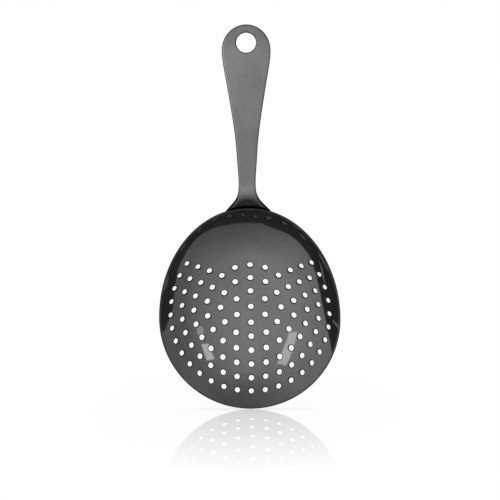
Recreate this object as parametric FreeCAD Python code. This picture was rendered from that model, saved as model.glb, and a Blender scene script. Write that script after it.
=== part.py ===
import FreeCAD, Part
import math
import os

# Julep strainer: an egg-shaped perforated bowl of pressed sheet, and a flat strip handle
# whose flared foot is projection-welded to the outside of the bowl wall.
#
# Frame, in millimetres. The origin is the centre of the hang hole, halfway through the
# handle. +Z points up, from the bowl to the handle. +Y points to the convex side of the
# bowl, which opens towards -Y. +X completes the frame and crosses the bowl.

Vector = FreeCAD.Vector

# Bowl: the outside of the pressing
BOWL_HALF_WIDTH = 39.0          # rim, from the centre line to the widest point
BOWL_REACH_UP = 49.2            # rim, from the widest line to the crest by the handle
BOWL_REACH_DOWN = 40.2          # rim, from the widest line to the far end
BOWL_DEPTH = 17.7               # outside depth below the rim
BOWL_CENTRE_SLOPE = 0.46        # rise of the wall near the centre; 1 everywhere is a paraboloid
BOWL_STRAIGHT_LEVEL = 0.9       # from this level outwards the rise no longer grows
SHOULDER_EASE = 2.2             # larger is shallower at the two shoulders beside the crest
BOWL_SHEET = 0.8                # sheet thickness

# Perforations
HOLE_DIAMETER = 2.5             # as punched in the flat blank
HOLE_STRETCH = 0.1              # drawing lengthens a hole outwards by this share, at the rim
HOLE_SQUEEZE = 0.2              # and narrows it along the rim by this share, at the rim
HOLE_CENTRE_RISE = 0.9          # pattern centre, above the widest line
FIRST_RING_ARC = 7.1            # along the sheet, from the centre hole to the first ring
RING_PITCH_ARC = 6.14           # along the sheet, from one ring to the next
HOLES_PER_RING_STEP = 6         # ring n has 6n equally spaced places
FULL_RINGS = 3
PARTIAL_RING_HALF_SPANS = (9, 11, 13)   # places filled each side of the lowest one

# Handle
HANDLE_SHEET = 1.8
HANDLE_LEAN = 15.5              # degrees, away from the rim plane towards the convex side
HANDLE_REACH = 71.6             # hang hole centre to the rim's crest, along the handle
HANDLE_LEAD = 8.2               # the handle's plane, carried on, passes this far before the crest
HANDLE_CROWN = 0.003            # fall of the front face at x, divided by x squared
HANG_HOLE_DIAMETER = 8.5
TIP_MARGIN = 7.7                # hang hole centre to the tip
HEAD_HALF_WIDTH = 10.35
HEAD_LENGTH = 10.85             # tip to the widest point of the head
# Below the head, as (distance from the tip along the handle, half width)
TAPER = ((20.3, 9.25), (35.3, 6.72), (51.3, 4.62), (59.3, 4.06), (69.0, 3.68))
FLARE = ((72.2, 4.14), (75.8, 5.76), (79.2, 9.0))
FOOT_WIDEST = 83.5              # distance from the tip
FOOT_HALF_WIDTH = 11.0
FOOT_END = 88.0                 # distance from the tip
BEND_SOFTNESS_MIDDLE = 4.0      # spread of the bend, where the foot turns back over the rim
BEND_SOFTNESS_SIDES = 8.0       # the bend is gentler away from the centre line
BEND_SPREAD = 5.0               # distance from the centre line over which it grows gentler
WELD_GAP = 0.25                 # left between the foot and the wall by the weld projections

# Welds
WELD_DIAMETER = 3.6
WELD_HALF_SPACING = 5.5
WELD_BELOW_CREST = 7.5          # weld centres below the rim's crest, measured along Z

LEAN = math.radians(HANDLE_LEAN)
UP_HANDLE = Vector(0, math.sin(LEAN), math.cos(LEAN))
HANDLE_FRONT = Vector(0, -math.cos(LEAN), math.sin(LEAN))

# The point of the handle's front face at the level of the crest fixes the bowl's place
CREST_ON_HANDLE = UP_HANDLE * -HANDLE_REACH + HANDLE_FRONT * (HANDLE_SHEET / 2)
RIM_Y = CREST_ON_HANDLE.y + HANDLE_LEAD
CREST_Z = CREST_ON_HANDLE.z
WIDEST_Z = CREST_Z - BOWL_REACH_UP
PATTERN_Z = WIDEST_Z + HOLE_CENTRE_RISE

# Wall rise from BOWL_STRAIGHT_LEVEL outwards, such that the depth is all used up at the rim
WALL_SLOPE = (1 - BOWL_CENTRE_SLOPE * BOWL_STRAIGHT_LEVEL / 3) / (1 - BOWL_STRAIGHT_LEVEL / 3)

# How the shapes are worked out
BOWL_GRID = 3.0                 # spacing of the points that each curved face passes through
HANDLE_GRID = 1.0
SLOPE_STEP = 0.01               # half step of the numerical slopes
WALK_STEPS = 100                # steps from the pattern's centre to a perforation
RIM_POINTS = 72                 # points that the trimming contour passes through
FACE_MARGIN = 4.0               # curved faces run this far past the outline that trims them
FOOT_DROP = 22.0                # the handle's face reaches this far below the crest
OVERLAP = 1.0                   # a cutting solid is this much wider than what it cuts
SWEEP = 200.0                   # longer than any solid is deep
HOLE_BAR_HALF_LENGTH = 3.0
WELD_BAR_HALF_LENGTH = 0.8


def bowl_ratios(x, z):
    """Squared shares of the way to the rim from the bowl's middle, across and along."""
    reach = BOWL_REACH_UP if z > WIDEST_Z else BOWL_REACH_DOWN
    return (x / BOWL_HALF_WIDTH) ** 2, ((z - WIDEST_Z) / reach) ** 2


def bowl_outside(x, z):
    """Y of the bowl's outer surface, a dome over an egg made of two half ellipses."""
    across, along = bowl_ratios(x, z)
    level = across + along
    inward = max(0.0, 1 - level / BOWL_STRAIGHT_LEVEL)
    flatter_by = (WALL_SLOPE - BOWL_CENTRE_SLOPE) * BOWL_STRAIGHT_LEVEL / 3
    depth = 1 - WALL_SLOPE * level + flatter_by * (1 - inward ** 3)
    if z > WIDEST_Z:
        depth -= SHOULDER_EASE * across * along * max(0.0, 1 - level) ** 2
    return RIM_Y + BOWL_DEPTH * depth


def foot_seat(x, z):
    """Y of the surface that the foot follows, one weld gap outside the bowl."""
    return bowl_outside(x, z) + WELD_GAP / back_normal(bowl_outside, x, z).y


def handle_front(x, z):
    """Y of the handle's front face: a leaning, faintly crowned plane that bends onto the seat."""
    plane = z * math.tan(LEAN) - HANDLE_SHEET / (2 * math.cos(LEAN)) + HANDLE_CROWN * x * x
    seat = foot_seat(x, z)
    sides = 1 - math.exp(-(x / BEND_SPREAD) ** 2)
    softness = BEND_SOFTNESS_MIDDLE + (BEND_SOFTNESS_SIDES - BEND_SOFTNESS_MIDDLE) * sides
    overlap = max(0.0, softness - abs(plane - seat))
    return max(plane, seat) + overlap ** 2 / (4 * softness)


def back_normal(surface, x, z):
    """Unit normal of a surface y(x, z), pointing towards +Y."""
    slope_x = (surface(x + SLOPE_STEP, z) - surface(x - SLOPE_STEP, z)) / (2 * SLOPE_STEP)
    slope_z = (surface(x, z + SLOPE_STEP) - surface(x, z - SLOPE_STEP)) / (2 * SLOPE_STEP)
    normal = Vector(-slope_x, 1, -slope_z)
    normal.normalize()
    return normal


def curved_face(surface, offset, grid_step, half_width, low_z, high_z):
    """Smooth face through a grid of points, moved along the surface's own normals."""
    columns = math.ceil(2 * half_width / grid_step)
    rows = math.ceil((high_z - low_z) / grid_step)
    grid = []
    for i in range(columns + 1):
        x = -half_width + 2 * half_width * i / columns
        line = []
        for j in range(rows + 1):
            z = low_z + (high_z - low_z) * j / rows
            line.append(Vector(x, surface(x, z), z) + back_normal(surface, x, z) * offset)
        grid.append(line)
    spline = Part.BSplineSurface()
    spline.interpolate(grid)
    return spline.toShape()


def curved_sheet(surface, front, back, grid_step, half_width, low_z, high_z):
    """Solid between two offsets of one surface, over a rectangle of x and z."""
    forward = Vector(0, -SWEEP, 0)
    far = curved_face(surface, back, grid_step, half_width, low_z, high_z)
    near = curved_face(surface, front, grid_step, half_width + OVERLAP, low_z - OVERLAP,
                       high_z + OVERLAP)
    return far.extrude(forward).cut(near.extrude(forward * 2))


def trim_contour(distance):
    """Where the normals of the outer surface at the rim cross the plane at a distance from it."""
    points = []
    for i in range(RIM_POINTS):
        turn = 2 * math.pi * i / RIM_POINTS
        reach = BOWL_REACH_UP if math.sin(turn) > 0 else BOWL_REACH_DOWN
        x = BOWL_HALF_WIDTH * math.cos(turn)
        z = WIDEST_Z + reach * math.sin(turn)
        normal = back_normal(bowl_outside, x, z)
        points.append(Vector(x, RIM_Y, z) + normal * (distance / normal.y))
    curve = Part.BSplineCurve()
    curve.interpolate(Points=points, PeriodicFlag=True)
    return Part.Wire(curve.toShape())


def hole_places():
    """Plan positions of the perforations: rings at a constant pitch along the sheet."""
    places = [(0.0, PATTERN_Z)]
    for ring in range(1, FULL_RINGS + len(PARTIAL_RING_HALF_SPANS) + 1):
        count = HOLES_PER_RING_STEP * ring
        arc = FIRST_RING_ARC + (ring - 1) * RING_PITCH_ARC
        if ring <= FULL_RINGS:
            filled = range(count)
        else:
            span = PARTIAL_RING_HALF_SPANS[ring - FULL_RINGS - 1]
            filled = range(-span, span + 1)
        for place in filled:
            places.append(walk_from_centre(2 * math.pi * place / count, arc))
    return places


def walk_from_centre(turn, arc):
    """Plan position at an arc length from the pattern's centre; turn 0 points to -Z."""
    step_x, step_z = math.sin(turn), -math.cos(turn)
    x, z = 0.0, PATTERN_Z
    for _ in range(WALK_STEPS):
        ahead = bowl_outside(x + step_x * SLOPE_STEP, z + step_z * SLOPE_STEP)
        behind = bowl_outside(x - step_x * SLOPE_STEP, z - step_z * SLOPE_STEP)
        slope = (ahead - behind) / (2 * SLOPE_STEP)
        plan_step = arc / WALK_STEPS / math.hypot(1, slope)
        x += step_x * plan_step
        z += step_z * plan_step
    return x, z


def hole_bar(x, z):
    """Oval bar square to the wall, longer outwards from the bowl's middle than along the rim."""
    level = sum(bowl_ratios(x, z))
    normal = back_normal(bowl_outside, x, z)
    side = normal.cross(Vector(x, 0, z - WIDEST_Z))
    side.normalize()
    outward = side.cross(normal)
    start = Vector(x, bowl_outside(x, z), z) - normal * HOLE_BAR_HALF_LENGTH
    radius = HOLE_DIAMETER / 2
    oval = Part.Ellipse(start + outward * radius * (1 + HOLE_STRETCH * level),
                        start + side * radius * (1 - HOLE_SQUEEZE * level ** 2), start)
    return Part.Face(Part.Wire(oval.toShape())).extrude(normal * 2 * HOLE_BAR_HALF_LENGTH)


def make_bowl():
    sheet = curved_sheet(bowl_outside, -BOWL_SHEET, 0.0, BOWL_GRID, BOWL_HALF_WIDTH + FACE_MARGIN,
                         WIDEST_Z - BOWL_REACH_DOWN - FACE_MARGIN, CREST_Z + FACE_MARGIN)
    ends = [trim_contour(-FACE_MARGIN), trim_contour(BOWL_DEPTH + FACE_MARGIN)]
    bowl = sheet.common(Part.makeLoft(ends, True, True))
    return bowl.cut([hole_bar(x, z) for x, z in hole_places()])


def in_handle_plane(x, along):
    """Point of the handle's middle plane, at x and a distance from the tip."""
    return Vector(x, 0, 0) + UP_HANDLE * (TIP_MARGIN - along)


def handle_side(sign):
    """One long edge of the handle, from the widest point of the head to that of the foot."""
    stations = ((HEAD_LENGTH, HEAD_HALF_WIDTH),) + TAPER + FLARE + ((FOOT_WIDEST, FOOT_HALF_WIDTH),)
    points = [in_handle_plane(sign * half, along) for along, half in stations]
    curve = Part.BSplineCurve()
    curve.interpolate(Points=points, InitialTangent=-UP_HANDLE, FinalTangent=-UP_HANDLE)
    return curve.toShape()


def handle_blank():
    """Prism of the handle's outline, square to its plane: elliptic head, taper and flared foot."""
    head = Part.Ellipse(in_handle_plane(0, 0), in_handle_plane(HEAD_HALF_WIDTH, HEAD_LENGTH),
                        in_handle_plane(0, HEAD_LENGTH))
    foot = Part.Ellipse(in_handle_plane(FOOT_HALF_WIDTH, FOOT_WIDEST), in_handle_plane(0, FOOT_END),
                        in_handle_plane(0, FOOT_WIDEST))
    quarter = math.pi / 2
    edges = [Part.ArcOfEllipse(head, -quarter, quarter).toShape(), handle_side(1),
             Part.ArcOfEllipse(foot, 0, 2 * quarter).toShape(), handle_side(-1)]
    outline = Part.Face(Part.Wire(Part.__sortEdges__(edges)))
    outline.translate(HANDLE_FRONT * SWEEP)
    return outline.extrude(HANDLE_FRONT * (-2 * SWEEP))


def make_handle():
    sheet = curved_sheet(handle_front, 0.0, HANDLE_SHEET, HANDLE_GRID, FOOT_HALF_WIDTH + FACE_MARGIN,
                         CREST_Z - FOOT_DROP, TIP_MARGIN + FACE_MARGIN)
    handle = sheet.common(handle_blank())
    bore_reach = 2 * HANDLE_SHEET
    bore = Part.makeCylinder(HANG_HOLE_DIAMETER / 2, 2 * bore_reach, HANDLE_FRONT * bore_reach,
                             HANDLE_FRONT * -1)
    return handle.cut(bore)


def make_welds(bowl, handle):
    """Fused weld projections: short studs that fill the gap between the foot and the wall."""
    welds = []
    for x in (-WELD_HALF_SPACING, WELD_HALF_SPACING):
        z = CREST_Z - WELD_BELOW_CREST
        seat = Vector(x, foot_seat(x, z), z)
        normal = back_normal(foot_seat, x, z)
        bar = Part.makeCylinder(WELD_DIAMETER / 2, 2 * WELD_BAR_HALF_LENGTH,
                                seat - normal * WELD_BAR_HALF_LENGTH, normal)
        rest = bar.cut([bowl, handle])
        inside = [solid for solid in rest.Solids if solid.BoundBox.isInside(seat)]
        welds.append(min(inside, key=lambda solid: solid.Volume))
    return Part.makeCompound(welds)


def save(name, shape):
    print(name, "valid", shape.isValid(), "solids", len(shape.Solids), "faces", len(shape.Faces),
          "volume %.2f" % shape.Volume, shape.BoundBox)
    shape.exportStep("parts/" + name + ".step")


def main():
    os.makedirs("parts", exist_ok=True)
    bowl = make_bowl()
    handle = make_handle()
    welds = make_welds(bowl, handle)
    save("bowl", bowl)
    save("handle", handle)
    save("weld_nuggets", welds)


main()
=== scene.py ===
import math

import bpy
import numpy as np
from mathutils import Matrix, Vector
from mathutils.geometry import delaunay_2d_cdt


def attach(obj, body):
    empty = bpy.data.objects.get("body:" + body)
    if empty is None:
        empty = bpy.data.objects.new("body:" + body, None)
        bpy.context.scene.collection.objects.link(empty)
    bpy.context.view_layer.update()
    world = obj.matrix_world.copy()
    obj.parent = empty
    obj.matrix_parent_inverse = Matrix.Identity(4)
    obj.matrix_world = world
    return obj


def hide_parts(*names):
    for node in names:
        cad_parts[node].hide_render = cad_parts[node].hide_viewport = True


# Julep strainer in dark plated steel: a perforated pressed bowl and a flat strip handle
# whose flared foot is welded to the bowl's back. The bowl and the handle are rebuilt here as
# closed, finely meshed sheets with eased edges; the weld nuggets keep their CAD mesh.
#
# Lengths are in millimetres, and become metres where a mesh or an object is made. The frame
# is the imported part's: origin in the hang hole, +Z up, the bowl opens towards -Y.

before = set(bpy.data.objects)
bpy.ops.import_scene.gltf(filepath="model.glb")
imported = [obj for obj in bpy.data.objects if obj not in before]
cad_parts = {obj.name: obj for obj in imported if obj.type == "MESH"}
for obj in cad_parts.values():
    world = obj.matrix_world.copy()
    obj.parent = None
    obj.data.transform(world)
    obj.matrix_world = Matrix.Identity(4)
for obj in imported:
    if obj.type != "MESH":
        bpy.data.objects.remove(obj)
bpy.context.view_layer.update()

MM = 0.001

# Bowl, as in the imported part
BOWL_HALF_WIDTH = 39.0
BOWL_REACH_UP = 49.2
BOWL_REACH_DOWN = 40.2
BOWL_DEPTH = 17.7
BOWL_CENTRE_SLOPE = 0.46
BOWL_STRAIGHT_LEVEL = 0.9
WALL_SLOPE = (1 - BOWL_CENTRE_SLOPE * BOWL_STRAIGHT_LEVEL / 3) / (1 - BOWL_STRAIGHT_LEVEL / 3)
SHOULDER_EASE = 2.2
BOWL_SHEET = 0.8
HOLE_DIAMETER = 2.5
HOLE_STRETCH = 0.1
HOLE_SQUEEZE = 0.2
HOLE_CENTRE_RISE = 0.9
FIRST_RING_ARC = 7.1
RING_PITCH_ARC = 6.14
HOLES_PER_RING_STEP = 6
FULL_RINGS = 3
PARTIAL_RING_HALF_SPANS = (9, 11, 13)

# Handle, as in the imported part; TAPER and FLARE are (distance from the tip, half width)
HANDLE_SHEET = 1.8
HANDLE_LEAN = math.radians(15.5)
HANDLE_REACH = 71.6
HANDLE_LEAD = 8.2
HANDLE_CROWN = 0.003
HANG_HOLE_DIAMETER = 8.5
TIP_MARGIN = 7.7
HEAD_HALF_WIDTH = 10.35
HEAD_LENGTH = 10.85
TAPER = ((20.3, 9.25), (35.3, 6.72), (51.3, 4.62), (59.3, 4.06), (69.0, 3.68))
FLARE = ((72.2, 4.14), (75.8, 5.76), (79.2, 9.0))
FOOT_WIDEST = 83.5
FOOT_HALF_WIDTH = 11.0
FOOT_END = 88.0
BEND_SOFTNESS_MIDDLE = 4.0
BEND_SOFTNESS_SIDES = 8.0
BEND_SPREAD = 5.0
WELD_GAP = 0.25
WELD_HALF_SPACING = 5.5
WELD_BELOW_CREST = 7.5

UP_HANDLE = Vector((0, math.sin(HANDLE_LEAN), math.cos(HANDLE_LEAN)))
HANDLE_FRONT = Vector((0, -math.cos(HANDLE_LEAN), math.sin(HANDLE_LEAN)))
CREST_ON_HANDLE = UP_HANDLE * -HANDLE_REACH + HANDLE_FRONT * (HANDLE_SHEET / 2)
RIM_Y = CREST_ON_HANDLE.y + HANDLE_LEAD
CREST_Z = CREST_ON_HANDLE.z
WIDEST_Z = CREST_Z - BOWL_REACH_UP
PATTERN_Z = WIDEST_Z + HOLE_CENTRE_RISE
LOWEST_Z = WIDEST_Z - BOWL_REACH_DOWN

# Easing of the sheet edges: how far it runs in from an edge, and how deep it is
LIP_EASE = (0.55, 0.3)
HOLE_EASE = (0.5, 0.12)
HANDLE_EASE = (1.3, 0.5)
HANG_HOLE_EASE = (0.5, 0.35)
DARK_MARGIN = 0.5               # painted shade darkens the finish over this width beside every edge

# Faint dents that the welds leave in the bowl's inside
DENT_DEPTH = 0.02
DENT_SPREAD = 1.1

# Meshing
EASE_STEPS = 5                  # rings of faces in each easing
BOWL_SPACING = 1.25             # between the points inside the bowl's outlines
HANDLE_SPACING = 0.85           # and inside the handle's
INNER_LEVEL = 0.93              # squared share of the way to the rim that the bowl's points reach
OUTLINE_SPACING = 0.7           # along the handle's sides
RIM_COUNT = 300                 # points round each outline
HOLE_COUNT = 28
HANG_HOLE_COUNT = 64
HEAD_STEPS = 28                 # steps along each quarter ellipse of the handle's ends
FOOT_STEPS = 22
WALK_STEPS = 100                # from the pattern's centre to a perforation
PLACE_STEPS = 7                 # Newton steps from the handle's middle plane to its front face
SLOPE_STEP = 0.01               # half step of the numerical slopes
MERGE_WITHIN = 1e-5             # points of the flat mesh closer than this are one
NO_INSET = 1e-6                 # rings with less inset than this lie on the outline itself


# ---------------------------------------------------------------- surfaces

def bowl_ratios(x, z):
    """Squared shares of the way to the rim from the bowl's middle, across and along."""
    reach = BOWL_REACH_UP if z > WIDEST_Z else BOWL_REACH_DOWN
    return (x / BOWL_HALF_WIDTH) ** 2, ((z - WIDEST_Z) / reach) ** 2


def bowl_outside(x, z):
    """Y of the bowl's outer surface, a dome over an egg made of two half ellipses."""
    across, along = bowl_ratios(x, z)
    level = across + along
    inward = max(0.0, 1 - level / BOWL_STRAIGHT_LEVEL)
    flatter_by = (WALL_SLOPE - BOWL_CENTRE_SLOPE) * BOWL_STRAIGHT_LEVEL / 3
    depth = 1 - WALL_SLOPE * level + flatter_by * (1 - inward ** 3)
    if z > WIDEST_Z:
        depth -= SHOULDER_EASE * across * along * max(0.0, 1 - level) ** 2
    return RIM_Y + BOWL_DEPTH * depth


def back_normal(surface, x, z):
    """Unit normal of a surface y(x, z), pointing towards +Y."""
    slope_x = (surface(x + SLOPE_STEP, z) - surface(x - SLOPE_STEP, z)) / (2 * SLOPE_STEP)
    slope_z = (surface(x, z + SLOPE_STEP) - surface(x, z - SLOPE_STEP)) / (2 * SLOPE_STEP)
    return Vector((-slope_x, 1, -slope_z)).normalized()


def foot_seat(x, z):
    """Y of the surface that the foot follows, one weld gap outside the bowl."""
    return bowl_outside(x, z) + WELD_GAP / back_normal(bowl_outside, x, z).y


def handle_front(x, z):
    """Y of the handle's front face: a leaning, faintly crowned plane that bends onto the seat."""
    half_sheet = HANDLE_SHEET / (2 * math.cos(HANDLE_LEAN))
    plane = z * math.tan(HANDLE_LEAN) - half_sheet + HANDLE_CROWN * x * x
    seat = foot_seat(x, z)
    sides = 1 - math.exp(-(x / BEND_SPREAD) ** 2)
    softness = BEND_SOFTNESS_MIDDLE + (BEND_SOFTNESS_SIDES - BEND_SOFTNESS_MIDDLE) * sides
    overlap = max(0.0, softness - abs(plane - seat))
    return max(plane, seat) + overlap ** 2 / (4 * softness)


def bowl_place(x, z):
    """Point and back normal of the bowl's outer surface at a plan position."""
    return Vector((x, bowl_outside(x, z), z)), back_normal(bowl_outside, x, z)


def bowl_plan(point):
    """Plan position of a point of the bowl: x and z."""
    return point.x, point.z


def handle_place(x, along):
    """Point and back normal of the handle's front face, straight before a middle-plane position."""
    start = UP_HANDLE * (TIP_MARGIN - along)
    start.x = x
    reach = HANDLE_SHEET / 2
    for _ in range(PLACE_STEPS):
        point = start + HANDLE_FRONT * reach
        miss = point.y - handle_front(x, point.z)
        above = handle_front(x, point.z + SLOPE_STEP)
        below = handle_front(x, point.z - SLOPE_STEP)
        slope = (above - below) / (2 * SLOPE_STEP)
        reach -= miss / (HANDLE_FRONT.y - slope * HANDLE_FRONT.z)
    point = start + HANDLE_FRONT * reach
    return point, back_normal(handle_front, x, point.z)


def handle_plan(point):
    """Plan position of a point of the handle: x and the distance from the tip."""
    return point.x, TIP_MARGIN - point.dot(UP_HANDLE)


# ---------------------------------------------------------------- outlines in plan

def rim_outline():
    """The rim, an egg made of two half ellipses."""
    outline = []
    for i in range(RIM_COUNT):
        turn = 2 * math.pi * i / RIM_COUNT
        reach = BOWL_REACH_UP if math.sin(turn) > 0 else BOWL_REACH_DOWN
        outline.append((BOWL_HALF_WIDTH * math.cos(turn), WIDEST_Z + reach * math.sin(turn)))
    return outline


def walk_from_centre(turn, arc):
    """Plan position at an arc length from the pattern's centre; turn 0 points to -Z."""
    step_x, step_z = math.sin(turn), -math.cos(turn)
    x, z = 0.0, PATTERN_Z
    for _ in range(WALK_STEPS):
        ahead = bowl_outside(x + step_x * SLOPE_STEP, z + step_z * SLOPE_STEP)
        behind = bowl_outside(x - step_x * SLOPE_STEP, z - step_z * SLOPE_STEP)
        slope = (ahead - behind) / (2 * SLOPE_STEP)
        plan_step = arc / WALK_STEPS / math.hypot(1, slope)
        x += step_x * plan_step
        z += step_z * plan_step
    return x, z


def hole_places():
    """Plan positions of the perforations: rings at a constant pitch along the sheet."""
    places = [(0.0, PATTERN_Z)]
    for ring in range(1, FULL_RINGS + len(PARTIAL_RING_HALF_SPANS) + 1):
        count = HOLES_PER_RING_STEP * ring
        arc = FIRST_RING_ARC + (ring - 1) * RING_PITCH_ARC
        if ring <= FULL_RINGS:
            filled = range(count)
        else:
            span = PARTIAL_RING_HALF_SPANS[ring - FULL_RINGS - 1]
            filled = range(-span, span + 1)
        for place in filled:
            places.append(walk_from_centre(2 * math.pi * place / count, arc))
    return places


def hole_outline(x, z):
    """Oval hole square to the wall, longer outwards than along the rim, as plan positions."""
    level = sum(bowl_ratios(x, z))
    centre, normal = bowl_place(x, z)
    side = normal.cross(Vector((x, 0, z - WIDEST_Z))).normalized()
    outward = side.cross(normal) * (HOLE_DIAMETER / 2 * (1 + HOLE_STRETCH * level))
    side *= HOLE_DIAMETER / 2 * (1 - HOLE_SQUEEZE * level ** 2)
    turns = [2 * math.pi * i / HOLE_COUNT for i in range(HOLE_COUNT)]
    return [bowl_plan(centre + outward * math.cos(turn) + side * math.sin(turn)) for turn in turns]


def clamped_spline(stations):
    """Smooth curve through (place, value) stations with level ends, as a function."""
    place = np.array([station[0] for station in stations])
    value = np.array([station[1] for station in stations])
    gap = np.diff(place)
    rise = np.diff(value) / gap
    matrix = np.eye(len(place))
    right = np.zeros(len(place))
    for i in range(1, len(place) - 1):
        matrix[i, i - 1:i + 2] = 1 / gap[i - 1], 2 / gap[i - 1] + 2 / gap[i], 1 / gap[i]
        right[i] = 3 * (rise[i - 1] / gap[i - 1] + rise[i] / gap[i])
    slopes = np.linalg.solve(matrix, right)

    def curve(at):
        i = min(max(int(np.searchsorted(place, at)) - 1, 0), len(gap) - 1)
        t = (at - place[i]) / gap[i]
        return float(value[i] * (1 + 2 * t) * (1 - t) ** 2 + slopes[i] * gap[i] * t * (1 - t) ** 2
                     + value[i + 1] * t * t * (3 - 2 * t) + slopes[i + 1] * gap[i] * t * t * (t - 1))
    return curve


handle_half_width = clamped_spline(((HEAD_LENGTH, HEAD_HALF_WIDTH),) + TAPER + FLARE
                                   + ((FOOT_WIDEST, FOOT_HALF_WIDTH),))


def handle_outline():
    """Outline of the strip, clockwise from the tip: elliptic head, taper, elliptic foot."""
    right = []
    for i in range(HEAD_STEPS):
        turn = math.pi / 2 * i / HEAD_STEPS
        right.append((HEAD_HALF_WIDTH * math.sin(turn), HEAD_LENGTH * (1 - math.cos(turn))))
    side_steps = round((FOOT_WIDEST - HEAD_LENGTH) / OUTLINE_SPACING)
    for i in range(side_steps):
        along = HEAD_LENGTH + (FOOT_WIDEST - HEAD_LENGTH) * i / side_steps
        right.append((handle_half_width(along), along))
    for i in range(FOOT_STEPS + 1):
        turn = math.pi / 2 * i / FOOT_STEPS
        right.append((FOOT_HALF_WIDTH * math.cos(turn),
                      FOOT_WIDEST + (FOOT_END - FOOT_WIDEST) * math.sin(turn)))
    left = [(-x, along) for x, along in right[-2:0:-1]]
    return right + left


def hang_hole_outline():
    """The hang hole's circle."""
    radius = HANG_HOLE_DIAMETER / 2
    turns = [2 * math.pi * i / HANG_HOLE_COUNT for i in range(HANG_HOLE_COUNT)]
    return [(radius * math.cos(turn), TIP_MARGIN + radius * math.sin(turn)) for turn in turns]


# ---------------------------------------------------------------- closed sheets

def eased_profile(front, back, ease):
    """Section round an edge from the front face to the back: (inset, offset, outward, through).

    The last two give the normal, along the sheet out of the edge and through it to the back.
    """
    width, depth = ease
    profile = []
    for i in range(EASE_STEPS + 1):
        turn = math.pi / 2 * i / EASE_STEPS
        outward, through = math.sin(turn) / width, math.cos(turn) / depth
        size = math.hypot(outward, through)
        profile.append((width * (1 - math.sin(turn)), depth * (1 - math.cos(turn)),
                        outward / size, through / size))
    ahead = [(inset, front + dip, outward, -through) for inset, dip, outward, through in profile]
    behind = [(inset, back - dip, outward, through) for inset, dip, outward, through in profile]
    return ahead + behind[::-1]


def make_sheet(name, place, plan, outer, holes, edges, interior, front, back, relief):
    """Closed sheet between two offsets of a surface, with an eased section round every edge.

    place turns a plan position into a point and a back normal, and plan turns a point back.
    outer and each of holes are plan outlines, interior holds the plan positions between them,
    and edges is (outer profile, hole profile). relief is added to the offset of the front face.
    The attribute "edge" rises over the last DARK_MARGIN of the faces, from 0 to 1 on the walls; the
    materials paint shade and add roughness by it.
    """
    loops = [(outer, edges[0], 1)] + [(hole, edges[1], -1) for hole in holes]
    flat_points = []
    constraints = []
    loop_rings = []
    for outline, profile, sense in loops:
        base = [place(*at) for at in outline]
        count = len(base)
        outward = []
        for i in range(count):
            along = base[(i + 1) % count][0] - base[i - 1][0]
            outward.append(along.cross(base[i][1]).normalized())
        rightmost = max(range(count), key=lambda i: base[i][0].x)
        if outward[rightmost].x * sense < 0:
            outward = [-direction for direction in outward]
        start = len(flat_points)
        inset = profile[0][0]
        flat_points += [plan(base[i][0] - outward[i] * inset) for i in range(count)]
        constraints += [(start + i, start + (i + 1) % count) for i in range(count)]
        loop_rings.append((start, count, base, outward, profile))
    flat_points += interior
    inside_only = 1
    result = delaunay_2d_cdt([Vector(at) for at in flat_points], constraints, [], inside_only,
                             MERGE_WITHIN)
    flat, faces, origins = result[0], result[2], result[3]
    owner = {}
    for index, sources in enumerate(origins):
        for source in sources:
            owner[source] = index
    loop_of = {}
    for number, (start, count, _, _, _) in enumerate(loop_rings):
        for i in range(count):
            loop_of[owner[start + i]] = number

    def skin(at, offset, use_relief):
        def point_at(a, b):
            point, normal = place(a, b)
            return point + normal * (offset + (relief(a, b) if use_relief else 0.0))
        a, b = at
        middle = point_at(a, b)
        step_a = point_at(a + SLOPE_STEP, b) - middle
        step_b = point_at(a, b + SLOPE_STEP) - middle
        normal = step_a.cross(step_b).normalized()
        return middle, normal if normal.y > 0 else -normal

    points, normals, edge = [], [], []
    for side, offset in ((-1, front), (1, back)):
        for at in flat:
            point, normal = skin(at, offset, side < 0)
            points.append(point)
            normals.append(normal * side)
            edge.append(0.0)
    polygons = []
    for face in faces:
        loops_here = {loop_of.get(i) for i in face}
        if len(loops_here) == 1 and loops_here.pop() not in (None, 0):
            continue
        polygons.append(tuple(face))
        polygons.append(tuple(i + len(flat) for i in face))
    for start, count, base, outward, profile in loop_rings:
        rings = [[owner[start + i] for i in range(count)]]
        for inset, offset, sideways, through in profile[1:-1]:
            ring = []
            for i in range(count):
                point, normal = base[i]
                if inset > NO_INSET:
                    point, normal = place(*plan(point - outward[i] * inset))
                ring.append(len(points))
                points.append(point + normal * offset)
                normals.append((outward[i] * sideways + normal * through).normalized())
                # mask for the painted edge shade and the duller finish, rising towards the wall
                edge.append(math.sqrt(max(0.0, 1 - inset / DARK_MARGIN)))
            rings.append(ring)
        rings.append([i + len(flat) for i in rings[0]])
        for near, far in zip(rings, rings[1:]):
            for i in range(count):
                j = (i + 1) % count
                polygons.append((near[i], near[j], far[j], far[i]))

    facing = []
    for polygon in polygons:
        corners = [points[i] for i in polygon]
        across = (corners[2] - corners[0]).cross(corners[-1] - corners[1])
        wanted = sum((normals[i] for i in polygon), Vector())
        facing.append(polygon if across.dot(wanted) > 0 else polygon[::-1])
    mesh = bpy.data.meshes.new(name)
    mesh.from_pydata([point * MM for point in points], [], facing)
    mesh.polygons.foreach_set("use_smooth", [True] * len(mesh.polygons))
    mesh.attributes.new("edge", "FLOAT", "POINT").data.foreach_set("value", edge)
    mesh.normals_split_custom_set_from_vertices(normals)
    mesh.validate()
    piece = bpy.data.objects.new(name, mesh)
    bpy.context.scene.collection.objects.link(piece)
    return piece


def hexagonal_grid(low, high, spacing, keep):
    """Evenly staggered positions in a box of plan space, where keep(a, b) allows them."""
    rise = spacing * math.sqrt(3) / 2
    rows = int((high[1] - low[1]) / rise)
    columns = int((high[0] - low[0]) / spacing)
    grid = []
    for j in range(rows + 1):
        for i in range(columns + 1):
            a = low[0] + spacing * (i + 0.5 * (j % 2))
            b = low[1] + rise * j
            if keep(a, b):
                grid.append((a, b))
    return grid


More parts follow.
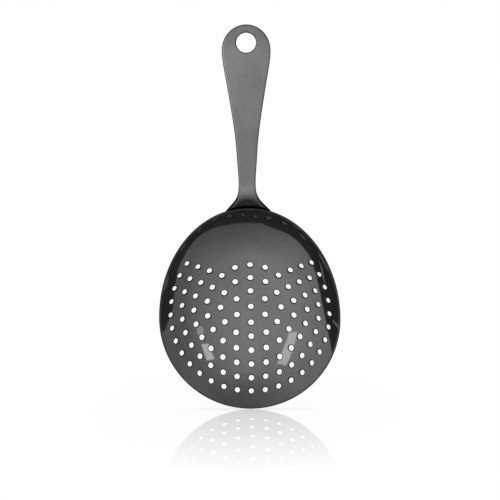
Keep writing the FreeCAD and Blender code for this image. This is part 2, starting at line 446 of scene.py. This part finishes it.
def make_bowl():
    """The pressed bowl with its perforations.

    The points inside it stop short of the eased holes by about half of their spacing.
    """
    holes = hole_places()
    outlines = [hole_outline(x, z) for x, z in holes]
    clear = HOLE_DIAMETER / 2 + HOLE_EASE[0] + 0.45 * BOWL_SPACING

    def keep(x, z):
        if sum(bowl_ratios(x, z)) > INNER_LEVEL:
            return False
        return all(math.hypot(x - hx, z - hz) > clear for hx, hz in holes)

    interior = hexagonal_grid((-BOWL_HALF_WIDTH, LOWEST_Z), (BOWL_HALF_WIDTH, CREST_Z),
                              BOWL_SPACING, keep)

    def relief(x, z):
        dent = 0.0
        for wx in (-WELD_HALF_SPACING, WELD_HALF_SPACING):
            gap = math.hypot(x - wx, z - CREST_Z + WELD_BELOW_CREST)
            dent += DENT_DEPTH * math.exp(-(gap / DENT_SPREAD) ** 2)
        return dent

    edges = (eased_profile(-BOWL_SHEET, 0.0, LIP_EASE),
             eased_profile(-BOWL_SHEET, 0.0, HOLE_EASE))
    return make_sheet("strainer_bowl", bowl_place, bowl_plan, rim_outline(), outlines, edges,
                      interior, -BOWL_SHEET, 0.0, relief)


def make_handle():
    """The strip handle with its hang hole and its flared foot.

    The points inside it stop short of the eased outlines by about half of their spacing.
    """
    hole_clear = HANG_HOLE_DIAMETER / 2 + HANG_HOLE_EASE[0] + 0.5 * HANDLE_SPACING
    side_clear = HANDLE_EASE[0] + 0.4 * HANDLE_SPACING
    sides_end = FOOT_WIDEST - 1.5
    foot_start = FOOT_WIDEST - 1.0
    foot_rise = FOOT_END - FOOT_WIDEST
    reach = 0.6

    # A point has to be clear of the sides this far up and down the handle too
    def keep(x, along):
        if math.hypot(x, along - TIP_MARGIN) < hole_clear:
            return False
        if along < HEAD_LENGTH:
            return math.hypot(x / (HEAD_HALF_WIDTH - side_clear),
                              (along - HEAD_LENGTH) / (HEAD_LENGTH - side_clear)) < 1
        if along > sides_end:
            return False
        nearest = min(handle_half_width(along - reach), handle_half_width(along),
                      handle_half_width(min(along + reach, FOOT_WIDEST)))
        return abs(x) < nearest - side_clear

    def keep_in_foot(x, along):
        return math.hypot(x / (FOOT_HALF_WIDTH - side_clear),
                          max(0.0, along - FOOT_WIDEST) / (foot_rise - side_clear)) < 1

    interior = hexagonal_grid((-FOOT_HALF_WIDTH, 0.0), (FOOT_HALF_WIDTH, FOOT_END),
                              HANDLE_SPACING, keep)
    interior += hexagonal_grid((-FOOT_HALF_WIDTH, foot_start), (FOOT_HALF_WIDTH, FOOT_END),
                               HANDLE_SPACING, keep_in_foot)
    edges = (eased_profile(0.0, HANDLE_SHEET, HANDLE_EASE),
             eased_profile(0.0, HANDLE_SHEET, HANG_HOLE_EASE))
    return make_sheet("strainer_handle", handle_place, handle_plan, handle_outline(),
                      [hang_hole_outline()], edges, interior, 0.0, HANDLE_SHEET, lambda x, along: 0.0)


# ---------------------------------------------------------------- materials

class Nodes:
    """Small helper that adds and links shader nodes."""

    def __init__(self, tree):
        self.tree = tree
        tree.nodes.clear()

    def add(self, kind, inputs=None, **settings):
        """New node, with each input linked or set to a value."""
        node = self.tree.nodes.new(kind)
        for name, value in settings.items():
            setattr(node, name, value)
        for name, value in (inputs or {}).items():
            if isinstance(value, bpy.types.NodeSocket):
                self.tree.links.new(value, node.inputs[name])
            else:
                node.inputs[name].default_value = value
        return node

    def noise(self, place, scale, detail, roughness=0.5):
        """Fractal noise, mostly between 0.3 and 0.7."""
        node = self.add("ShaderNodeTexNoise", {"Vector": place, "Scale": scale, "Detail": detail,
                                               "Roughness": roughness})
        return node.outputs["Fac"]

    def calculate(self, operation, *values):
        """Result of a Math node."""
        return self.add("ShaderNodeMath", dict(enumerate(values)), operation=operation).outputs[0]

    def vector_node(self, operation, *values):
        """Vector Math node, whose result is its output Vector or Value."""
        return self.add("ShaderNodeVectorMath", dict(enumerate(values)), operation=operation)

    def spread(self, value, ends, results):
        """The value taken from one range to another, and held at its ends."""
        node = self.add("ShaderNodeMapRange", {"Value": value, "From Min": ends[0], "From Max": ends[1],
                                               "To Min": results[0], "To Max": results[1]})
        return node.outputs["Result"]

    def spread_noise(self, value, low, high):
        """Noise taken to the range from low to high."""
        return self.spread(value, (0.3, 0.7), (low, high))

    def mix_colour(self, factor, first, second):
        """Blend of two colours."""
        node = self.add("ShaderNodeMix", {0: factor, 6: first, 7: second}, data_type="RGBA")
        return node.outputs[2]


def grey(value):
    """Opaque neutral colour."""
    return value, value, value, 1


def dark_metal(name, base, mottle, grain_share, roughness, streaks, streak_lift, waves):
    """Dark plated steel: mottled tone, fine streaks along one direction, duller edges with painted
    shade on them.

    base is the reflectance, and mottle is the share by which it varies. grain_share weighs the
    fine grain beside the two soft noises. roughness is its range before streak_lift is added or
    taken away along the streaks, which are noise at three scales. waves is the height of the
    slow ripples, in metres.
    """
    # Painted shade: the near-black tone that the edges are darkened to
    painted_edge_shade = 0.015
    edge_roughness = 0.4
    streak_strength = 0.06
    streak_height = 0.00005
    grazing_tint = 0.2
    material = bpy.data.materials.new(name)
    material.use_nodes = True
    nodes = Nodes(material.node_tree)
    place = nodes.add("ShaderNodeTexCoord").outputs["Object"]
    cloud = nodes.noise(place, 70.0, 4.0, 0.55)
    stretched = nodes.add("ShaderNodeMapping", {"Vector": place, "Scale": streaks}).outputs["Vector"]
    streak = nodes.noise(stretched, 1.0, 5.0, 0.6)
    wave = nodes.noise(place, 85.0, 1.0)
    grain = nodes.noise(place, 900.0, 3.0)
    broad = nodes.noise(place, 22.0, 2.0)
    edge = nodes.add("ShaderNodeAttribute", attribute_name="edge").outputs["Fac"]

    soft = nodes.calculate("ADD", cloud, broad)
    both = nodes.calculate("MULTIPLY_ADD", grain, grain_share, soft)
    blend = nodes.calculate("DIVIDE", both, 2 + grain_share)
    tone = nodes.mix_colour(nodes.spread_noise(blend, 0.0, 1.0), grey(base * (1 - mottle)),
                            grey(base * (1 + mottle)))
    # Painted shade: the mottled tone goes towards near black on the edges
    tone_and_painted_shade = nodes.mix_colour(edge, tone, grey(painted_edge_shade))

    rough_cloud = nodes.spread_noise(cloud, *roughness)
    rough_streak = nodes.spread_noise(streak, -streak_lift, streak_lift)
    polished = nodes.calculate("ADD", rough_cloud, rough_streak)
    rough = nodes.calculate("MULTIPLY_ADD", edge, edge_roughness, polished)

    wavy = nodes.add("ShaderNodeBump", {"Height": wave, "Strength": 1.0, "Distance": waves}).outputs[0]
    bump = nodes.add("ShaderNodeBump", {"Height": streak, "Strength": streak_strength,
                                        "Distance": streak_height, "Normal": wavy}).outputs[0]
    shader = nodes.add("ShaderNodeBsdfPrincipled", {"Base Color": tone_and_painted_shade, "Metallic": 1.0,
                                                    "Roughness": rough, "Normal": bump,
                                                    "Specular Tint": grey(grazing_tint)})
    output = nodes.add("ShaderNodeOutputMaterial")
    nodes.tree.links.new(shader.outputs[0], output.inputs[0])
    return material


def assign(piece, material):
    """Give a piece one material."""
    piece.data.materials.clear()
    piece.data.materials.append(material)


# ---------------------------------------------------------------- the pieces

bowl = make_bowl()
handle = make_handle()
assign(bowl, dark_metal("bowl_finish", base=0.1, mottle=0.2, grain_share=1.0, roughness=(0.03, 0.06),
                        streaks=(260.0, 260.0, 1500.0), streak_lift=0.005, waves=0.00007))
assign(handle, dark_metal("handle_finish", base=0.118, mottle=0.34, grain_share=0.35,
                          roughness=(0.16, 0.22), streaks=(2400.0, 200.0, 60.0), streak_lift=0.04,
                          waves=0.00005))
assign(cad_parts["weld_nuggets"],
       dark_metal("weld_finish", base=0.08, mottle=0.18, grain_share=1.0, roughness=(0.35, 0.5),
                  streaks=(600.0, 600.0, 600.0), streak_lift=0.05, waves=0.0001))

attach(bowl, "root")
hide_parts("bowl")
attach(handle, "root")
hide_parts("handle")


# ---------------------------------------------------------------- stage, light and camera

def make_floor():
    """Large pale sheet just under the bowl, white to the eye, with a reflection that fades.

    A faint contact shadow lies round the spot that the bowl stands on. Lengths are in metres.
    """
    size = 6.0
    shadow_half_width, shadow_half_depth = 0.034, 0.0035
    shadow_level = 0.8
    nearest_share, reflection_reach = 0.35, 0.088
    z = LOWEST_Z * MM
    foot_spot = (0.0, RIM_Y * MM, z)
    mesh = bpy.data.meshes.new("studio_floor")
    mesh.from_pydata([(-size, -size, z), (size, -size, z), (size, size, z), (-size, size, z)], [],
                     [(0, 1, 2, 3)])
    floor = bpy.data.objects.new("studio_floor", mesh)
    bpy.context.scene.collection.objects.link(floor)
    material = bpy.data.materials.new("studio_floor")
    material.use_nodes = True
    nodes = Nodes(material.node_tree)
    place = nodes.add("ShaderNodeTexCoord").outputs["Object"]
    offset = nodes.vector_node("SUBTRACT", place, foot_spot).outputs["Vector"]
    squeeze = (1 / shadow_half_width, 1 / shadow_half_depth, 0.0)
    squeezed = nodes.vector_node("MULTIPLY", offset, squeeze).outputs["Vector"]
    shadow_place = nodes.vector_node("LENGTH", squeezed).outputs["Value"]
    away = nodes.vector_node("LENGTH", offset).outputs["Value"]
    shadow = nodes.spread(shadow_place, (0.0, 1.0), (shadow_level, 1.0))
    glow = nodes.add("ShaderNodeEmission", {"Strength": shadow}).outputs[0]
    gloss = nodes.add("ShaderNodeBsdfGlossy", {"Color": grey(0.9), "Roughness": 0.02}).outputs[0]
    share = nodes.spread(away, (0.0, reflection_reach), (nearest_share, 0.0))
    surface = nodes.add("ShaderNodeMixShader", {0: share, 1: glow, 2: gloss})
    output = nodes.add("ShaderNodeOutputMaterial")
    nodes.tree.links.new(surface.outputs[0], output.inputs[0])
    assign(floor, material)
    floor.visible_glossy = False
    floor.visible_diffuse = False


def make_world():
    """Soft studio air, brightest before and behind the object and dim round it, white to the eye."""
    world = bpy.data.worlds.new("studio")
    bpy.context.scene.world = world
    world.use_nodes = True
    nodes = Nodes(world.node_tree)
    seen = nodes.add("ShaderNodeLightPath").outputs["Is Camera Ray"]
    direction = nodes.add("ShaderNodeTexCoord").outputs["Generated"]
    brightest = Vector((-0.38, -1.0, -0.12)).normalized()
    facing = nodes.vector_node("DOT_PRODUCT", direction, brightest).outputs["Value"]
    aligned = nodes.calculate("ABSOLUTE", facing)
    level = nodes.spread(aligned, (0.0, 1.0), (0.88, 1.78))
    behind = nodes.spread(facing, (-0.4, 0.1), (0.6, 1.0))
    height = nodes.add("ShaderNodeSeparateXYZ", {0: direction}).outputs["Z"]
    steep = nodes.calculate("ABSOLUTE", height)
    dimmer = nodes.spread(steep, (0.73, 1.0), (1.0, 0.58))
    shade = nodes.calculate("MULTIPLY", behind, dimmer)
    light = nodes.calculate("MULTIPLY", level, shade)
    strength = nodes.add("ShaderNodeMix", {0: seen, 2: light, 3: 1.0}).outputs[0]
    glow = nodes.add("ShaderNodeBackground", {"Color": grey(1.0), "Strength": strength}).outputs[0]
    output = nodes.add("ShaderNodeOutputWorld")
    nodes.tree.links.new(glow, output.inputs[0])


def direction_from(azimuth, elevation):
    """Unit vector out of the bowl's mouth, turned towards +X and upwards by angles in degrees."""
    across, rise = math.radians(azimuth), math.radians(elevation)
    return Vector((math.sin(across) * math.cos(rise), -math.cos(across) * math.cos(rise),
                   math.sin(rise)))


def make_softbox(name, shape, azimuth, elevation, width, height, radiance):
    """Light facing the bowl, placed by its direction from the bowl's mouth."""
    distance = 1.2
    towards = direction_from(azimuth, elevation)
    data = bpy.data.lights.new(name, "AREA")
    data.shape = shape
    data.size = width
    data.size_y = height
    area = width * height * (math.pi / 4 if shape == "ELLIPSE" else 1)
    data.energy = radiance * math.pi * area
    lamp = bpy.data.objects.new(name, data)
    lamp.rotation_euler = towards.to_track_quat("Z", "Y").to_euler()
    lamp.location = Vector((0, RIM_Y * MM, WIDEST_Z * MM)) + towards * distance
    lamp.visible_camera = False
    bpy.context.scene.collection.objects.link(lamp)


def make_camera():
    """Long lens before the bowl, a little above it, turned so that the object leans as it should."""
    roll = math.radians(0.95)
    distance = 1400.0
    width_seen = 214.0
    aim_right, aim_up = 0.11, 29.6
    target = Vector((0, RIM_Y, WIDEST_Z))
    towards = direction_from(1.9, 15.6)
    level_right = Vector((0, 0, 1)).cross(towards).normalized()
    level_up = towards.cross(level_right)
    right = level_right * math.cos(roll) - level_up * math.sin(roll)
    up = level_up * math.cos(roll) + level_right * math.sin(roll)
    place = target + towards * distance
    aim = target + right * aim_right + up * aim_up
    back = (place - aim).normalized()
    side = up.cross(back).normalized()
    top = back.cross(side)
    data = bpy.data.cameras.new("camera")
    data.sensor_width = 36.0
    data.lens = data.sensor_width * distance / width_seen
    data.clip_start = 0.05
    camera = bpy.data.objects.new("camera", data)
    turn = Matrix((side, top, back)).transposed().to_4x4()
    camera.matrix_world = Matrix.Translation(place * MM) @ turn
    bpy.context.scene.collection.objects.link(camera)
    bpy.context.scene.camera = camera


make_floor()
make_world()
make_softbox("softbox_left", "RECTANGLE", -41.0, 18.5, 0.25, 0.7, 2.1)
make_softbox("softbox_right", "RECTANGLE", 47.0, 21.0, 0.2, 0.34, 2.7)
make_softbox("softbox_right_small", "ELLIPSE", 49.0, 1.0, 0.2, 0.2, 1.3)
make_camera()
bpy.context.scene.view_settings.view_transform = "Standard"

bpy.context.view_layer.update()
